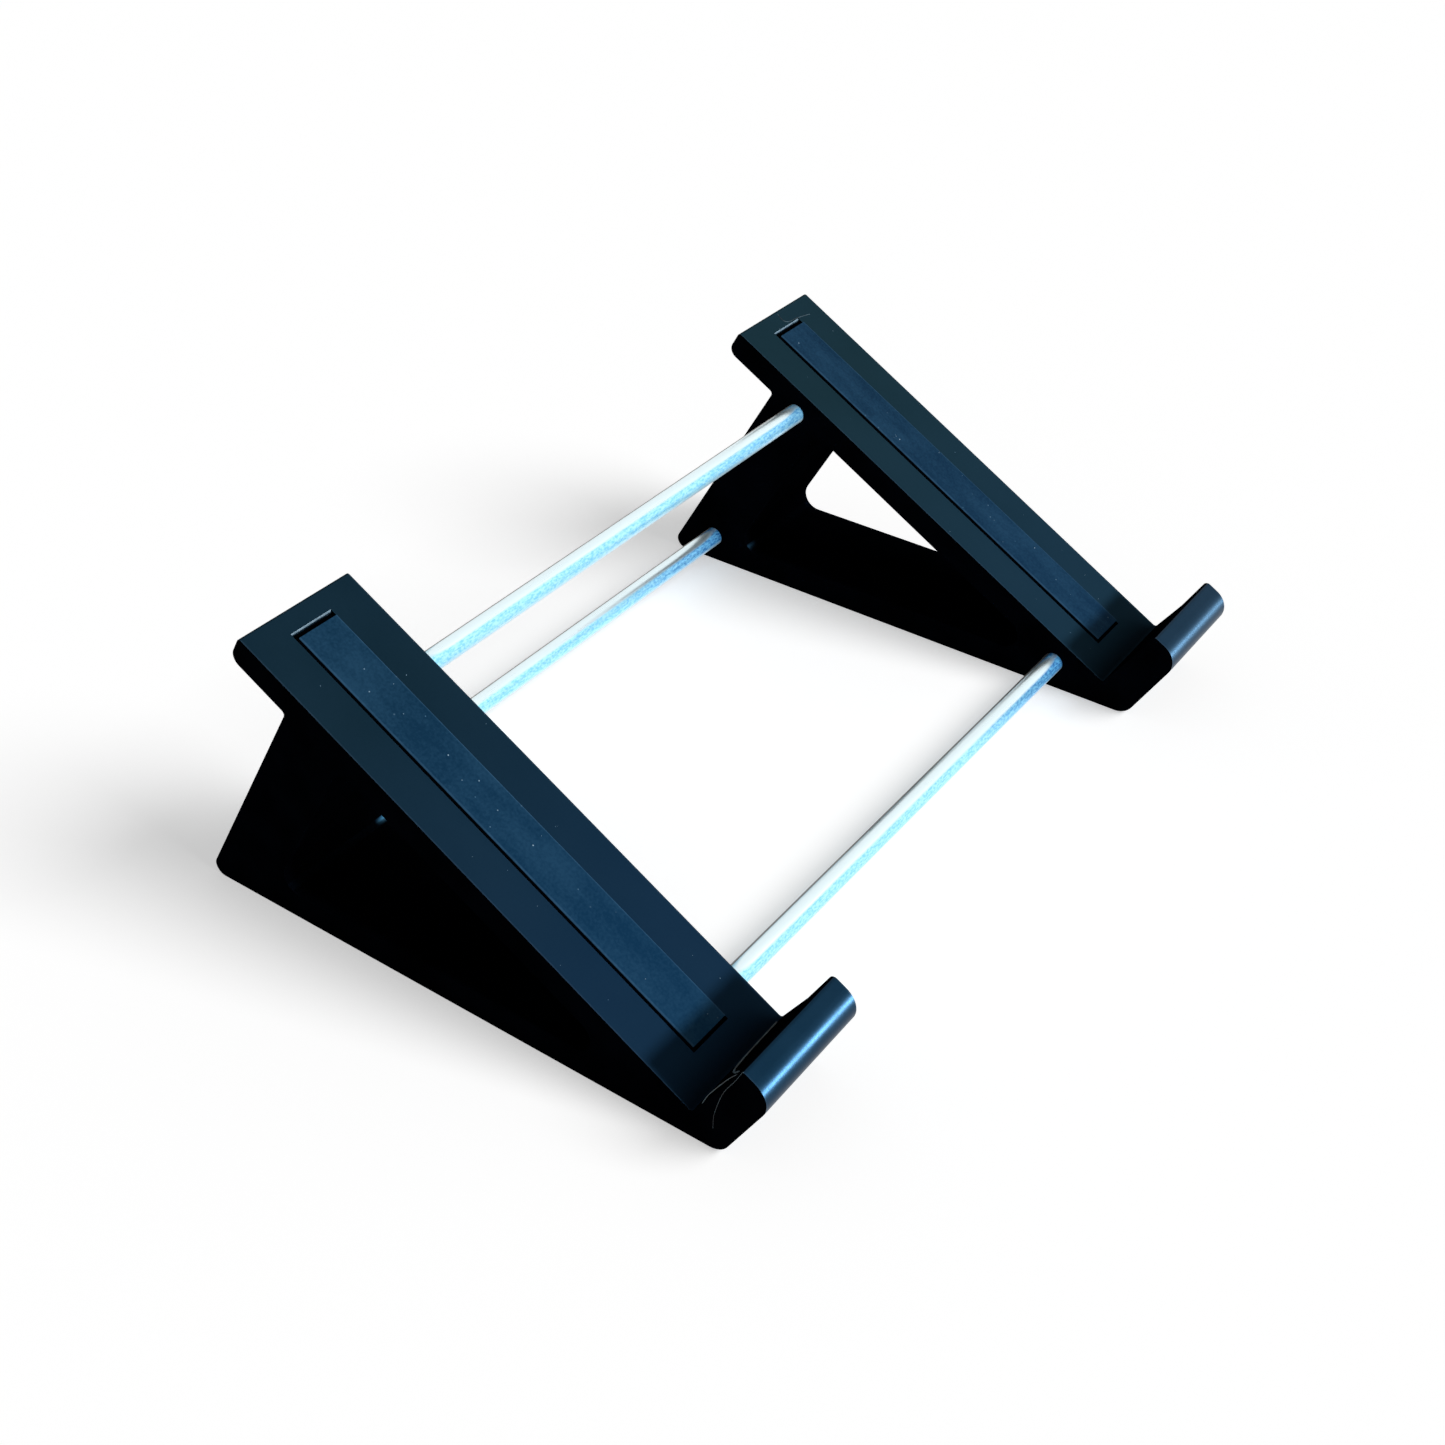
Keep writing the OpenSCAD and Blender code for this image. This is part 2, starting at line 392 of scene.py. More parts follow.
def build_far_side():
    tree, given, result = new_group("Far side", {"Share": 0.3}, ("Mask",))
    across = split(tree, own_place(tree))["X"]
    share = ramp(tree, across, -INNER_FACE, INNER_FACE, 0.0, given["Share"])
    tree.links.new(share, result["Mask"])
    return tree


SLOPE_FADE = build_slope_fade()
FAR_SIDE = build_far_side()
print("shared effects:", SLOPE_FADE.name, "and", FAR_SIDE.name)


# %% Material helpers
def new_finish(name, **constants):
    """A material with a Principled shader whose plain settings are set on its own sockets."""
    finish = bpy.data.materials.new(name)
    finish.use_nodes = True
    tree = finish.node_tree
    shader = tree.nodes["Principled BSDF"]
    for label, value in constants.items():
        shader.inputs[label.replace("_", " ")].default_value = value
    return finish, tree, shader


def place_group(tree, group, **values):
    """One use of a shared group in a material, with its own values."""
    made = tree.nodes.new("ShaderNodeGroup")
    made.node_tree = group
    for label, value in values.items():
        made.inputs[label.replace("_", " ")].default_value = value
    return made.outputs[0]


def noise_of(tree, marks_per_metre, detail):
    """A noise with that many marks in a metre: one number, or three for X, Y and Z."""
    if not isinstance(marks_per_metre, tuple):
        marks_per_metre = (marks_per_metre,) * 3
    return place_group(tree, FINE_STREAKS, Marks_Per_Metre=marks_per_metre, Detail=detail)


def blend_colours(tree, share, first, second):
    """A mix of two colours, each a socket or a red, green and blue."""
    add, join = node_tools(tree)
    mix = add("ShaderNodeMix", data_type="RGBA")
    join(share, mix.inputs["Factor"])
    for colour, target in ((first, mix.inputs[6]), (second, mix.inputs[7])):
        join((*colour, 1.0) if isinstance(colour, tuple) else colour, target)
    return mix.outputs[2]


def two_tones(tree, pattern, low, high, first, second):
    """The first colour where a pattern is under low, the second where it is over high."""
    return blend_colours(tree, ramp(tree, pattern, low, high), first, second)


def add_roughness(tree, shader, pattern, smooth, rough):
    """Lets a pattern vary the roughness between two values."""
    tree.links.new(ramp(tree, pattern, 0.3, 0.7, smooth, rough), shader.inputs["Roughness"])


def add_bump(tree, shader, height, distance):
    """Puts a bump of that height in metres on the shader's normal."""
    add, join = node_tools(tree)
    bump = add("ShaderNodeBump")
    join(height, bump.inputs["Height"])
    join(distance, bump.inputs["Distance"])
    join(1.0, bump.inputs["Strength"])
    join(bump.outputs["Normal"], shader.inputs["Normal"])


def build_one_noise_finish(name, level, marks_per_metre, detail, tones, roughness, bump):
    """A finish that takes its two tones, its roughness and its bump from one noise."""
    finish, tree, shader = new_finish(name, Specular_IOR_Level=level)
    pattern = noise_of(tree, marks_per_metre, detail)
    tree.links.new(two_tones(tree, pattern, *tones), shader.inputs["Base Color"])
    add_roughness(tree, shader, pattern, *roughness)
    add_bump(tree, shader, pattern, bump)
    return finish


# %% [markdown]
# ## Bracket plastic
# The brackets are printed in black plastic with a blue cast, and their faces look different. The
# slopes that the nozzle followed are satin navy. The flat sides, the hollows, the pocket gaps and
# the back and underside of each lip are painted almost black, a painted shade for faces that get
# little light. The lip has been rubbed smooth by the instrument, the sharp rim at the high end of
# each pocket carries a pale painted highlight, and the round corner inside each window has a small
# painted glint. One material could mix them all by position, but five plain ones on the same mesh
# are easier to read and to repaint.

# %% Satin plastic of the slopes and lips
# The colours blended from front to back, and towards the right bracket, paint in how the window
# light changes across the stand: painted light.
LOW_NAVY = (0.0080, 0.0279, 0.058)
HIGH_NAVY = (0.0072, 0.0225, 0.035)
LIP_NAVY = (0.0045, 0.0220, 0.044)
FAR_TEAL = (0.020, 0.050, 0.052)
PALE_CLOUD = (0.03, 0.07, 0.11)
# A pale painted highlight along the long edges of each bracket.
HIGHLIGHT_ON_EDGES = (0.05, 0.09, 0.13)


def build_printed_plastic(name, level, tint, roughness, low_colour, far_share):
    """Satin plastic with a painted change of light from the low colour in front to high navy at the
    back, paler clouds and painted edge highlights.
    """
    finish, tree, shader = new_finish(name, Specular_IOR_Level=level, Specular_Tint=tint)
    streaks = noise_of(tree, (2600.0, 160.0, 160.0), 2.0)
    cloud = noise_of(tree, (60.0, 45.0, 45.0), 4.0)
    grain = noise_of(tree, 2200.0, 2.0)
    edge = place_group(tree, EDGE_HIGHLIGHT, Half_Width=BRACKET_HALF, Line_Width=0.0004, Wear=0.5)
    shade = part_each(tree, cloud, 0.7, grain, 0.3)
    far = place_group(tree, FAR_SIDE, Share=far_share)
    base = blend_colours(tree, place_group(tree, SLOPE_FADE), low_colour, HIGH_NAVY)
    base = blend_colours(tree, far, base, FAR_TEAL)
    base = blend_colours(tree, ramp(tree, shade, 0.3, 0.7, 0.0, 0.10), base, PALE_CLOUD)
    base = blend_colours(tree, sum_of(tree, "MULTIPLY", edge, 0.4), base, HIGHLIGHT_ON_EDGES)
    tree.links.new(base, shader.inputs["Base Color"])
    add_roughness(tree, shader, shade, roughness - 0.05, roughness + 0.06)
    height = sum_of(tree, "ADD", streaks, sum_of(tree, "MULTIPLY", grain, 0.8))
    add_bump(tree, shader, height, 0.00001)
    return finish


slope_plastic = build_printed_plastic(
    "printed plastic", 0.003, (0.2, 0.6, 1.0, 1.0), 0.5, LOW_NAVY, far_share=0.3
)
lip_plastic = build_printed_plastic(
    "printed plastic rubbed smooth", 0.08, (0.10, 0.55, 1.0, 1.0), 0.33, LIP_NAVY, far_share=0.0
)
print("made:", slope_plastic.name, "and", lip_plastic.name)

# %% Near-black plastic of the flat sides and hollows, a painted shade
# These near-black tones paint in the shade of faces that get little light.
DARKEST = (0.0006, 0.0009, 0.0016)
NEAR_BLACK = (0.0014, 0.0022, 0.0042)


def build_shaded_plastic():
    finish, tree, shader = new_finish("printed plastic painted shade", Specular_IOR_Level=0.0)
    cloud = noise_of(tree, 90.0, 4.0)
    base = two_tones(tree, cloud, 0.35, 0.65, DARKEST, NEAR_BLACK)
    tree.links.new(base, shader.inputs["Base Color"])
    add_roughness(tree, shader, cloud, 0.38, 0.52)
    add_bump(tree, shader, noise_of(tree, 1900.0, 2.0), 0.00002)
    return finish


shaded_plastic = build_shaded_plastic()
print("made:", shaded_plastic.name)

# %% Painted highlight on the sharp rim at the high end of each pocket
# A pale painted highlight on the top of the rim, over a painted shade in the gap under it.
RIM_HIGHLIGHT_DULL = (0.15, 0.21, 0.25)
RIM_HIGHLIGHT_BRIGHT = (0.26, 0.33, 0.38)
RIM_GAP_SHADE = (0.004, 0.012, 0.02)
RIM_HIGHLIGHT_START, RIM_HIGHLIGHT_END = 0.00215, 0.0023


def build_rim_highlight_plastic():
    finish, tree, shader = new_finish("printed plastic painted rim highlight", Specular_IOR_Level=0.02)
    rim_noise = noise_of(tree, 700.0, 2.0)
    rim_highlight = two_tones(tree, rim_noise, 0.35, 0.6, RIM_HIGHLIGHT_DULL, RIM_HIGHLIGHT_BRIGHT)
    height = along(tree, own_place(tree), OUT_OF_SLOPE)
    foot = FRONT_FOOT.dot(OUT_OF_SLOPE)
    top = ramp(tree, height, foot + RIM_HIGHLIGHT_START, foot + RIM_HIGHLIGHT_END)
    base = blend_colours(tree, top, RIM_GAP_SHADE, rim_highlight)
    tree.links.new(base, shader.inputs["Base Color"])
    add_roughness(tree, shader, rim_noise, 0.45, 0.65)
    add_bump(tree, shader, rim_noise, 0.00002)
    return finish


rim_highlight_plastic = build_rim_highlight_plastic()
print("made:", rim_highlight_plastic.name)

# %% Plastic of the corner inside each window, with painted shade and a painted glint
CORNER_DARK = (0.0008, 0.0016, 0.003)
CORNER_LIGHT = (0.002, 0.004, 0.008)
GLINT_BLUE = (0.045, 0.13, 0.19)
SPOT_NEAR_FACE, SPOT_END = 0.0704, 0.0740
SPOT_HEIGHT = 0.00756
SPOT_HALF_HEIGHT = 0.0007


def build_corner_glint_plastic():
    """Painted shade in the window corner, with a small painted glint that shines like metal,
    brighter on the left bracket.
    """
    finish, tree, shader = new_finish("printed plastic painted corner glint", Specular_IOR_Level=0.0)
    grain = noise_of(tree, 1900.0, 2.0)
    dark = two_tones(tree, grain, 0.35, 0.65, CORNER_DARK, CORNER_LIGHT)
    place = split(tree, own_place(tree))
    from_centre = sum_of(tree, "ABSOLUTE", place["X"])
    by_face = ramp(tree, from_centre, SPOT_NEAR_FACE, SPOT_END, 1.0, 0.006)
    off_height = sum_of(tree, "ABSOLUTE", sum_of(tree, "SUBTRACT", place["Z"], SPOT_HEIGHT))
    by_height = ramp(tree, off_height, 0.0, SPOT_HALF_HEIGHT, 1.0, 0.0)
    by_side = ramp(tree, place["X"], -INNER_FACE, INNER_FACE, 0.9, 0.2)
    glint = sum_of(tree, "MULTIPLY", by_face, sum_of(tree, "MULTIPLY", by_height, by_side))
    tree.links.new(blend_colours(tree, glint, dark, GLINT_BLUE), shader.inputs["Base Color"])
    add_roughness(tree, shader, grain, 0.4, 0.5)
    tree.links.new(glint, shader.inputs["Metallic"])
    add_bump(tree, shader, grain, 0.00001)
    return finish


corner_glint_plastic = build_corner_glint_plastic()
print("made:", corner_glint_plastic.name)

# %% Give each face of the brackets its finish
FINISHES = (slope_plastic, lip_plastic, shaded_plastic, rim_highlight_plastic, corner_glint_plastic)
PRINTED, RUBBED, DARK, RIM_HIGHLIGHT, CORNER = range(len(FINISHES))

# Places up the slope from the front foot and out of it, in metres
LIP_END, LIP_START = 0.0096, 0.0035
POCKET_HALF = 0.0056
POCKET_LOW, POCKET_HIGH, POCKET_RIM = 0.0164, 0.1301, 0.1294
POCKET_FLOOR, POCKET_TOP = 0.001, SURFACE_RISE - 0.0001
UNDER_SLOPE = -0.004

# Places in height and depth, in metres
WINDOW_FLOOR, WINDOW_BACK = 0.0062, 0.051
CORNER_TOP, CORNER_FRONT = 0.012, 0.042

# How much of a face's direction lies along another one, from 0 to 1
SIDEWAYS = 0.9
LIP_BACK, LIP_UNDERSIDE = 0.6, 0.05
RIM_OUTWARDS = 0.2
CORNER_SHINE, CORNER_MATCH = Vector((0.0, -0.71, 0.70)), 0.975


def finish_for(face):
    """Which of the five finishes a bracket's face has, by where it is and which way it looks."""
    from_foot = face.center - FRONT_FOOT
    up, out = from_foot.dot(UP_SLOPE), from_foot.dot(OUT_OF_SLOPE)
    faces_up, faces_out = face.normal.dot(UP_SLOPE), face.normal.dot(OUT_OF_SLOPE)
    # Sideways faces, the back and underside of the lip, the pocket gaps and the window's hollows
    # get the near-black finish, a painted shade.
    if abs(face.normal.x) > SIDEWAYS:
        return DARK
    if up < LIP_END and out > LIP_START:
        return DARK if faces_up > LIP_BACK or faces_out < LIP_UNDERSIDE else RUBBED
    across = abs(abs(face.center.x) - BRACKET_MIDDLE)
    between_ends = POCKET_LOW < up < POCKET_HIGH
    if across < POCKET_HALF and between_ends and POCKET_FLOOR < out < POCKET_TOP:
        # The top of the high-end rim gets the painted highlight, and the rest of the pocket gets
        # the painted shade.
        return RIM_HIGHLIGHT if up > POCKET_RIM and faces_out > RIM_OUTWARDS else DARK
    depth, height = face.center.y, face.center.z
    in_window = height > WINDOW_FLOOR and out < UNDER_SLOPE and depth < WINDOW_BACK
    if not in_window:
        return PRINTED
    in_corner = depth > CORNER_FRONT and height < CORNER_TOP
    # A painted glint on part of the round corner, and painted shade on the rest of the window.
    return CORNER if in_corner and face.normal.dot(CORNER_SHINE) > CORNER_MATCH else DARK


def finish_bracket(bracket):
    """Puts the five finishes on one bracket and sorts its faces among them."""
    mesh = bracket.data
    mesh.materials.clear()
    for finish in FINISHES:
        mesh.materials.append(finish)
    counts = [0] * len(FINISHES)
    for face in mesh.polygons:
        face.material_index = finish_for(face)
        counts[face.material_index] += 1
    print(bracket.name, "faces: printed, rubbed, dark, scraped, corner =", counts)


finish_bracket(nodes["side_left"])
finish_bracket(nodes["side_right"])

# %% [markdown]
# ## Rubber strips
# The strips are thin cellular rubber. It scatters more light than the plastic, so they look paler
# and bluer, with a fine grain, cloudy wear where an instrument has rubbed, pale specks of dust,
# and a pale painted highlight along the cut edges.

# %% Rubber
STRIP_HALF = 0.00525
# From front to back and towards the right strip, these colours paint in how the window light
# changes: painted light.
RUBBER_LOW = (0.0052, 0.034, 0.078)
RUBBER_HIGH = (0.0056, 0.030, 0.062)
RUBBER_FAR = (0.0065, 0.021, 0.046)
RUBBED_PALE = (0.045, 0.13, 0.22)
# A pale painted highlight along the long edges of each strip.
RUBBER_EDGE_HIGHLIGHT = (0.06, 0.15, 0.25)
SPECK_COLOUR = (0.25, 0.40, 0.50)


def build_rubber():
    finish, tree, shader = new_finish(
        "grip rubber", Specular_IOR_Level=0.05, Specular_Tint=(0.35, 0.70, 1.0, 1.0)
    )
    cloud = noise_of(tree, (220.0, 70.0, 70.0), 5.0)
    grain = noise_of(tree, 1500.0, 4.0)
    edge = place_group(tree, EDGE_HIGHLIGHT, Half_Width=STRIP_HALF, Line_Width=0.00045, Wear=0.4)
    specks = place_group(tree, DUST_SPECKS, Cells_Per_Metre=600.0, Share=0.10, Radius=0.16)
    shade = part_each(tree, cloud, 0.55, grain, 0.45)
    far = place_group(tree, FAR_SIDE, Share=0.4)
    base = blend_colours(tree, place_group(tree, SLOPE_FADE), RUBBER_LOW, RUBBER_HIGH)
    base = blend_colours(tree, far, base, RUBBER_FAR)
    base = blend_colours(tree, ramp(tree, shade, 0.38, 0.62, 0.0, 0.24), base, RUBBED_PALE)
    base = blend_colours(tree, sum_of(tree, "MULTIPLY", edge, 0.7), base, RUBBER_EDGE_HIGHLIGHT)
    base = blend_colours(tree, sum_of(tree, "MULTIPLY", specks, 0.35), base, SPECK_COLOUR)
    tree.links.new(base, shader.inputs["Base Color"])
    add_roughness(tree, shader, grain, 0.6, 0.8)
    add_bump(tree, shader, grain, 0.00006)
    return finish


rubber = build_rubber()
print("made:", rubber.name)

# %% Painted shade on the cut edges of the rubber
# The cut edges of the strips are painted near-black, a painted shade.
TOP_OUTWARDS = 0.3
EDGE_SHADE_TONES = (0.4, 0.6, (0.0006, 0.0012, 0.003), (0.002, 0.004, 0.009))

edge_shade_rubber = build_one_noise_finish(
    "grip rubber painted edge shade", 0.02, 1800.0, 3.0, EDGE_SHADE_TONES, roughness=(0.7, 0.9), bump=0.00008
)
for name in ("grip_strip_left", "grip_strip_right"):
    mesh = nodes[name].data
    mesh.materials.clear()
    mesh.materials.append(rubber)
    mesh.materials.append(edge_shade_rubber)
    for face in mesh.polygons:
        face.material_index = 0 if face.normal.dot(OUT_OF_SLOPE) > TOP_OUTWARDS else 1
    shaded_edge_faces = sum(face.material_index for face in mesh.polygons)
    print(name, "cut faces:", shaded_edge_faces, "of", len(mesh.polygons))

# %% [markdown]
# ## Drawn aluminium rods
# A drawn rod has fine marks along its length. They spread a reflection across the rod and keep it
# long and thin, and they also break up the blue band below the middle. The streaks run along the
# rod, and drive the colour, the roughness and a very low bump. The colour holds painted
# reflections: white on the upper part, blue on the lower front, and a thin dull line along the far
# upper edge.

# %% Aluminium
# These rod colours are painted reflections laid out by the rod's normal and place, not the metal's
# own colour.
LOW_FRONT = (0.0, -0.75, -0.66)
REFLECTED_WHITE = (0.84, 0.97, 1.0)
DARK_BLUE, DARK_BLUE_FAR = (0.26, 0.68, 0.98), (0.02, 0.17, 0.52)
LIGHT_BLUE, LIGHT_BLUE_FAR = (0.50, 0.90, 1.0), (0.18, 0.58, 0.95)
LOWEST_BLUE = (0.75, 0.93, 1.0)
EDGE_FRONT, EDGE_REAR = (0.22, 0.205, 0.18), (0.50, 0.465, 0.40)
WHITE_MIDDLE, WHITE_HALF = 0.48, 0.50


def build_aluminium():
    finish, tree, shader = new_finish("drawn aluminium", Specular_IOR_Level=0.3)
    streaks = noise_of(tree, (60.0, 1400.0, 1400.0), 3.0)
    grain = noise_of(tree, (1100.0, 2200.0, 2200.0), 4.0)
    normal = tree.nodes.new("ShaderNodeNewGeometry").outputs["Normal"]
    low_front = along(tree, normal, LOW_FRONT)
    place = split(tree, own_place(tree))

    # The painted white reflection narrows to a rounded tip near each bracket.
    towards_end = ramp(tree, sum_of(tree, "ABSOLUTE", place["X"]), 0.060, 0.0685)
    around = sum_of(tree, "DIVIDE", sum_of(tree, "ADD", low_front, WHITE_MIDDLE), WHITE_HALF)
    distance = sum_of(
        tree,
        "ADD",
        sum_of(tree, "POWER", sum_of(tree, "ABSOLUTE", around), 2.0),
        sum_of(tree, "POWER", towards_end, 2.0),
    )
    white = ramp(tree, distance, 0.55, 1.3, 1.0, 0.0)

    # The dull line, a painted dark reflection, is wider and paler on the two rear rods.
    rear = ramp(tree, place["Y"], -0.02, 0.03)
    edge_start = ramp(tree, rear, 0.0, 1.0, -0.91, -0.86)
    edge = ramp(tree, low_front, edge_start, sum_of(tree, "SUBTRACT", edge_start, 0.06))

    # The painted blue reflection gets deeper towards the right bracket, most on the low rods.
    by_height = ramp(tree, place["Z"], 0.02, 0.05, 1.0, 0.5)
    deeper = sum_of(tree, "MULTIPLY", ramp(tree, place["X"], 0.025, 0.069), by_height)
    dark_blue = blend_colours(tree, deeper, DARK_BLUE, DARK_BLUE_FAR)
    light_blue = blend_colours(tree, deeper, LIGHT_BLUE, LIGHT_BLUE_FAR)
    blue = two_tones(tree, grain, 0.36, 0.62, dark_blue, light_blue)
    # The lowest part of the blue band turns pale, a painted reflection.
    blue = blend_colours(tree, ramp(tree, low_front, 0.78, 0.98, 0.0, 0.8), blue, LOWEST_BLUE)

    base = blend_colours(tree, white, blue, REFLECTED_WHITE)
    base = blend_colours(tree, edge, base, blend_colours(tree, rear, EDGE_FRONT, EDGE_REAR))
    tree.links.new(base, shader.inputs["Base Color"])
    shiny = ramp(tree, white, 0.0, 1.0, 0.35, 0.85)
    metal = sum_of(tree, "SUBTRACT", shiny, edge, clamp=True)
    tree.links.new(metal, shader.inputs["Metallic"])
    add_roughness(tree, shader, streaks, 0.26, 0.36)
    add_bump(tree, shader, sum_of(tree, "ADD", streaks, grain), 0.000002)
    return finish


aluminium = build_aluminium()
for name in ("rod_rear_upper", "rod_rear_lower", "rod_front"):
    nodes[name].data.materials.clear()
    nodes[name].data.materials.append(aluminium)
print("rods finished with", aluminium.name)

# %% [markdown]
# ## Dust on the slopes
# A few dozen pale specks lie on the strips and slopes. They could be painted, but a real speck
# stands up and stays sharp close to. Geometry Nodes scatter them: points at random on a flat patch
# of surface, a tiny flattened ball on each, made real and given its material. The patch is only
# where they may lie.

# %% The scatter tree
SCATTER_INPUTS = (
    ("Patch", "NodeSocketGeometry", None),
    ("Specks Per Square Metre", "NodeSocketFloat", 20000.0),
    ("Least Size", "NodeSocketFloat", 0.4),
    ("Speck Radius", "NodeSocketFloat", 0.0002),
    ("Seed", "NodeSocketInt", 1),
    ("Finish", "NodeSocketMaterial", None),
)
SPECK_SHAPE = (1.0, 1.0, 0.45)


def build_scatter_tree():
    tree = bpy.data.node_groups.new("Scatter specks", "GeometryNodeTree")
    sockets = tree.interface
    for label, kind, start in SCATTER_INPUTS:
        socket = sockets.new_socket(label, in_out="INPUT", socket_type=kind)
        if start is not None:
            socket.default_value = start
    sockets.new_socket("Specks", in_out="OUTPUT", socket_type="NodeSocketGeometry")
    add, join = node_tools(tree)
    given, result = add("NodeGroupInput").outputs, add("NodeGroupOutput").inputs
    points = add("GeometryNodeDistributePointsOnFaces", distribute_method="RANDOM")
    join(given["Patch"], points.inputs["Mesh"])
    join(given["Specks Per Square Metre"], points.inputs["Density"])
    join(given["Seed"], points.inputs["Seed"])
    ball = add("GeometryNodeMeshIcoSphere")
    join(given["Speck Radius"], ball.inputs["Radius"])
    join(1, ball.inputs["Subdivisions"])
    flat = add("GeometryNodeTransform")
    join(ball.outputs["Mesh"], flat.inputs["Geometry"])
    join(SPECK_SHAPE, flat.inputs["Scale"])
    size = add("FunctionNodeRandomValue", data_type="FLOAT")
    join(given["Least Size"], size.inputs[2])
    join(1.0, size.inputs[3])
    join(given["Seed"], size.inputs["Seed"])
    placed = add("GeometryNodeInstanceOnPoints")
    join(points.outputs["Points"], placed.inputs["Points"])
    join(flat.outputs["Geometry"], placed.inputs["Instance"])
    join(points.outputs["Rotation"], placed.inputs["Rotation"])
    join(size.outputs[1], placed.inputs["Scale"])
    real = add("GeometryNodeRealizeInstances")
    join(placed.outputs["Instances"], real.inputs["Geometry"])
    finish = add("GeometryNodeSetMaterial")
    join(real.outputs["Geometry"], finish.inputs["Geometry"])
    join(given["Finish"], finish.inputs["Material"])
    join(finish.outputs["Geometry"], result["Specks"])
    return tree


SCATTER = build_scatter_tree()
print("scatter tree nodes:", len(SCATTER.nodes))


# %% Two patches of specks
def plain_mesh(source):
    """The finished mesh of an object with modifiers or a curve, which is then thrown away."""
    ready = source.evaluated_get(bpy.context.evaluated_depsgraph_get())
    mesh = bpy.data.meshes.new_from_object(ready)
    bpy.data.objects.remove(source)
    return mesh


def add_to_stand(name, mesh):
    """Makes a piece of the stand from a mesh, lit by the stand's lamps and fixed to its body."""
    mesh.name = name
    piece = bpy.data.objects.new(name, mesh)
    scene.collection.objects.link(piece)
    whole_stand.objects.link(piece)
    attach(piece, "root")
    print(name, "faces:", len(mesh.polygons))


def scatter(name, patches, out, **values):
    """Specks on flat patches of the slopes. A patch is its middle across, half width and ends."""
    corners, quads = [], []
    for middle, half, low, high in patches:
        quads.append(tuple(range(len(corners), len(corners) + 4)))
        for aside, up in ((-half, low), (half, low), (half, high), (-half, high)):
            corners.append(on_slope(middle + aside, up, out))
    patch_mesh = bpy.data.meshes.new(name + "_patch")
    patch_mesh.from_pydata(corners, [], quads)
    patch = bpy.data.objects.new(name + "_patch", patch_mesh)
    scene.collection.objects.link(patch)
    scatterer = patch.modifiers.new("scatter", "NODES")
    scatterer.node_group = SCATTER
    for socket in SCATTER.interface.items_tree:
        key = socket.name.replace(" ", "_")
        if key in values:
            scatterer[socket.identifier] = values[key]
    add_to_stand(name, plain_mesh(patch))


LINT_TONES = (0.35, 0.65, (0.05, 0.13, 0.21), (0.34, 0.47, 0.56))
LEFT_AND_RIGHT = (-1, 1)
STRIP_RISE = 0.0033
BORDER_MIDDLE = 0.0105

dust = build_one_noise_finish(
    "pale dust", 0.1, 900.0, 2.0, LINT_TONES, roughness=(0.7, 0.95), bump=0.00002
)
strips = [(side * BRACKET_MIDDLE, 0.0048, 0.0185, 0.127) for side in LEFT_AND_RIGHT]
scatter(
    "dust_on_strips",
    strips,
    STRIP_RISE,
    Specks_Per_Square_Metre=15000.0,
    Least_Size=0.3,
    Speck_Radius=0.00021,
    Seed=7,
    Finish=dust,
)
borders = [
    (side * BRACKET_MIDDLE + border * BORDER_MIDDLE, 0.0035, 0.012, 0.131)
    for side in LEFT_AND_RIGHT
    for border in LEFT_AND_RIGHT
]
scatter(
    "dust_on_slopes",
    borders,
    SURFACE_RISE,
    Specks_Per_Square_Metre=7000.0,
    Least_Size=0.3,
    Speck_Radius=0.00014,
    Seed=3,
    Finish=dust,
)

# %% [markdown]
# ## Stray threads of plastic
# A printer leaves thin threads where the nozzle leaves a corner. Four show on this stand: one down
# the outer end of the left lip, one at its back corner, one along its back, and one beside the
# high end of the right pocket. Each is a thin round thread swept along a few points, half sunk in
# what it sticks to.

# %% Sweep a thread along points
MOTTLE_TONES = (0.4, 0.6, (0.012, 0.018, 0.023), (0.08, 0.13, 0.155))

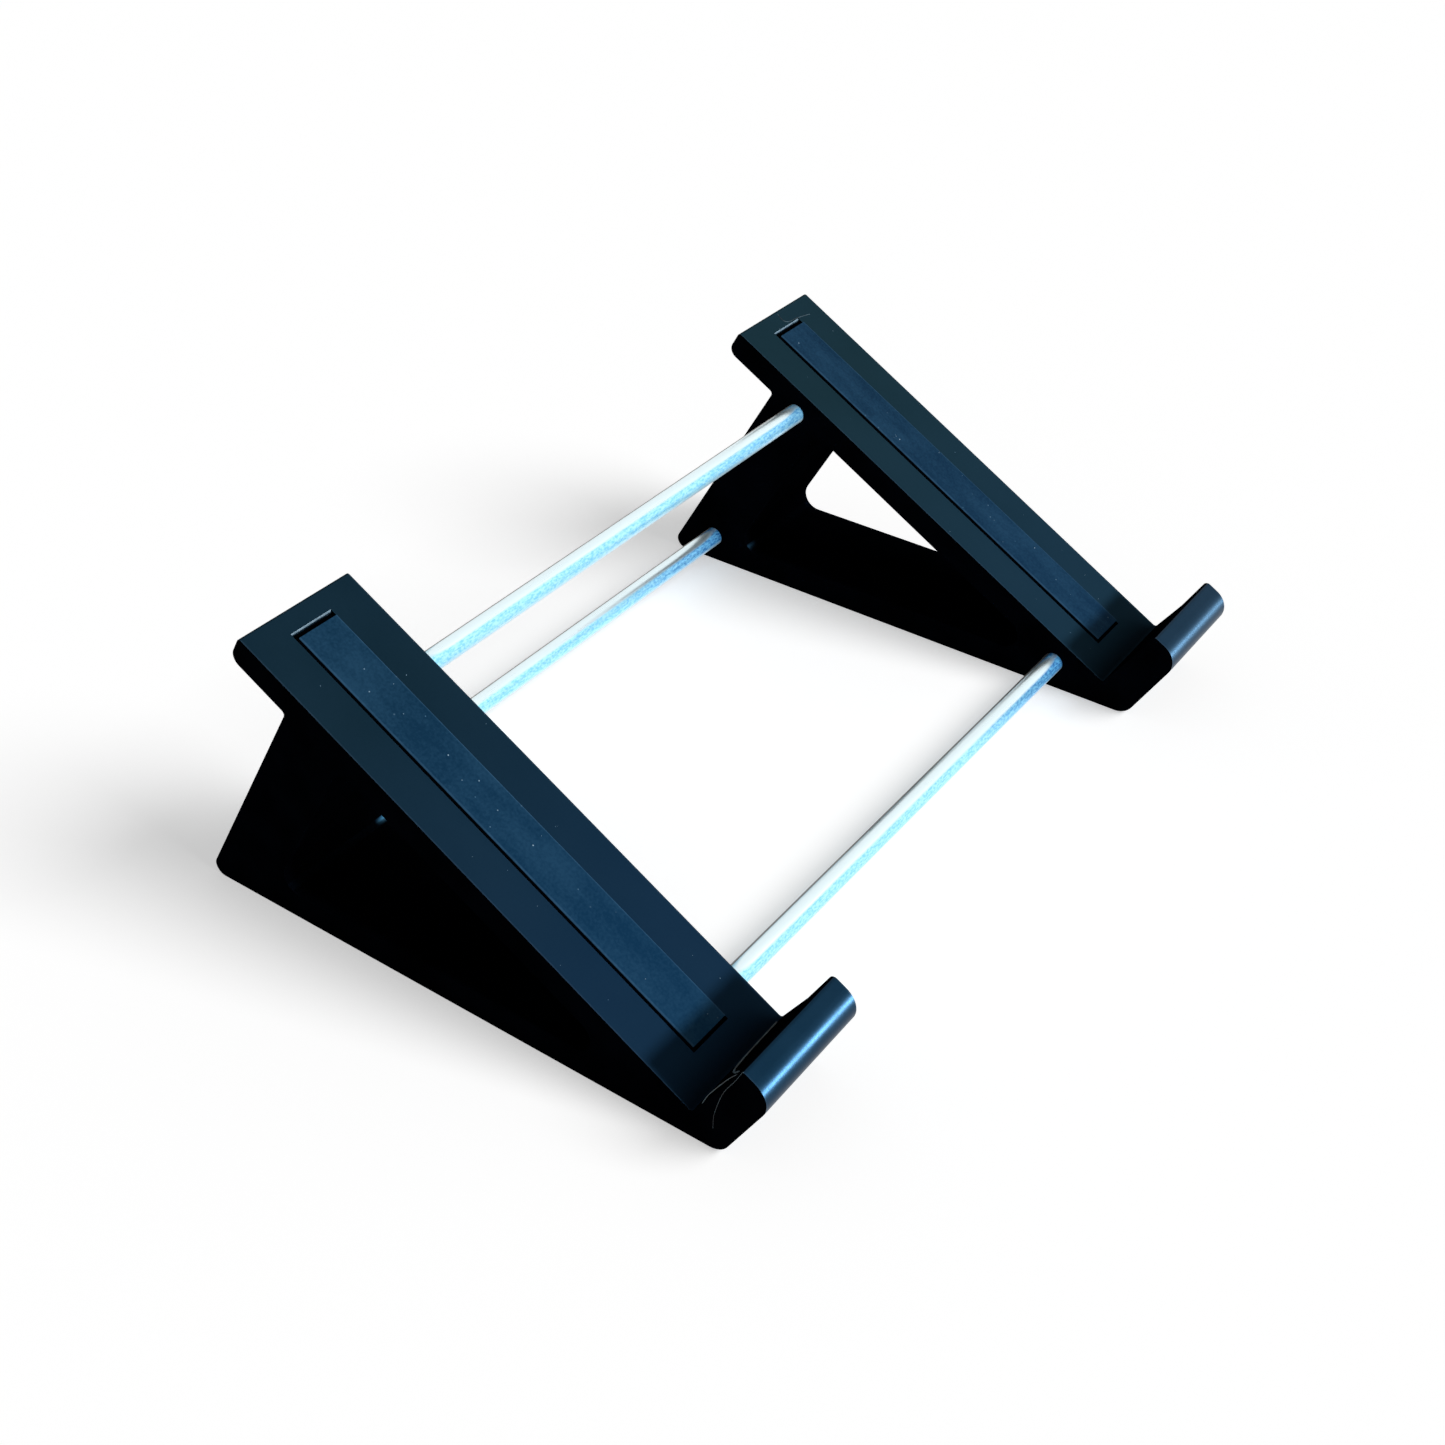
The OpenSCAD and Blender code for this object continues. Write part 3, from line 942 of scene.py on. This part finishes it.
thread_plastic = build_one_noise_finish(
    "thread of plastic", 0.3, 500.0, 2.0, MOTTLE_TONES, roughness=(0.35, 0.6), bump=0.00001
)


def thread(name, radius, places):
    """A thread with closed ends through places across, up and out of the slope, in mm."""
    line = bpy.data.curves.new(name, "CURVE")
    line.dimensions = "3D"
    line.bevel_depth = radius
    line.bevel_resolution = 1
    line.use_fill_caps = True
    spline = line.splines.new("NURBS")
    spline.points.add(len(places) - 1)
    spline.order_u = 3
    spline.use_endpoint_u = True
    spline.resolution_u = 6
    for knot, place in zip(spline.points, places):
        knot.co = (*on_slope(*(part / 1000 for part in place)), 1.0)
    swept = bpy.data.objects.new(name + "_line", line)
    scene.collection.objects.link(swept)
    mesh = plain_mesh(swept)
    mesh.materials.clear()
    mesh.materials.append(thread_plastic)
    add_to_stand(name, mesh)


# %% The four threads
THIN, THICK = 0.00009, 0.0002
LIP_END_PLACES = [
    (-99.93, 4.3, 3.8), (-99.93, 5.7, 6.1), (-99.93, 6.7, 9.4), (-99.93, 7.7, 13.4),
    (-99.93, 7.9, 16.5), (-99.93, 7.8, 19.6), (-99.93, 8.1, 23.0),
]
LIP_CORNER_PLACES = [
    (-99.9, 8.0, 23.2), (-99.9, 8.8, 20.5), (-99.9, 9.2, 15.0),
    (-99.9, 9.4, 9.0), (-99.9, 8.6, 5.5), (-99.9, 7.6, 3.0),
]
LIP_BACK_PLACES = [
    (-99.2, 8.6, 21.5), (-97.0, 8.75, 17.0), (-92.0, 9.05, 9.5),
    (-85.0, 9.2, 5.6), (-78.0, 9.25, 4.6), (-73.0, 9.3, 4.2),
]
HIGH_END_PLACES = [
    (86.0, 133.9, 2.5), (85.5, 132.3, 2.5), (85.7, 131.2, 2.5),
    (87.1, 130.4, 2.5), (90.9, 130.3, 2.5), (95.1, 129.3, 2.5),
]

thread("thread_lip_end", THIN, LIP_END_PLACES)
thread("thread_lip_corner", THIN, LIP_CORNER_PLACES)
thread("thread_lip_back", THICK, LIP_BACK_PLACES)
thread("thread_high_end", THIN, HIGH_END_PLACES)
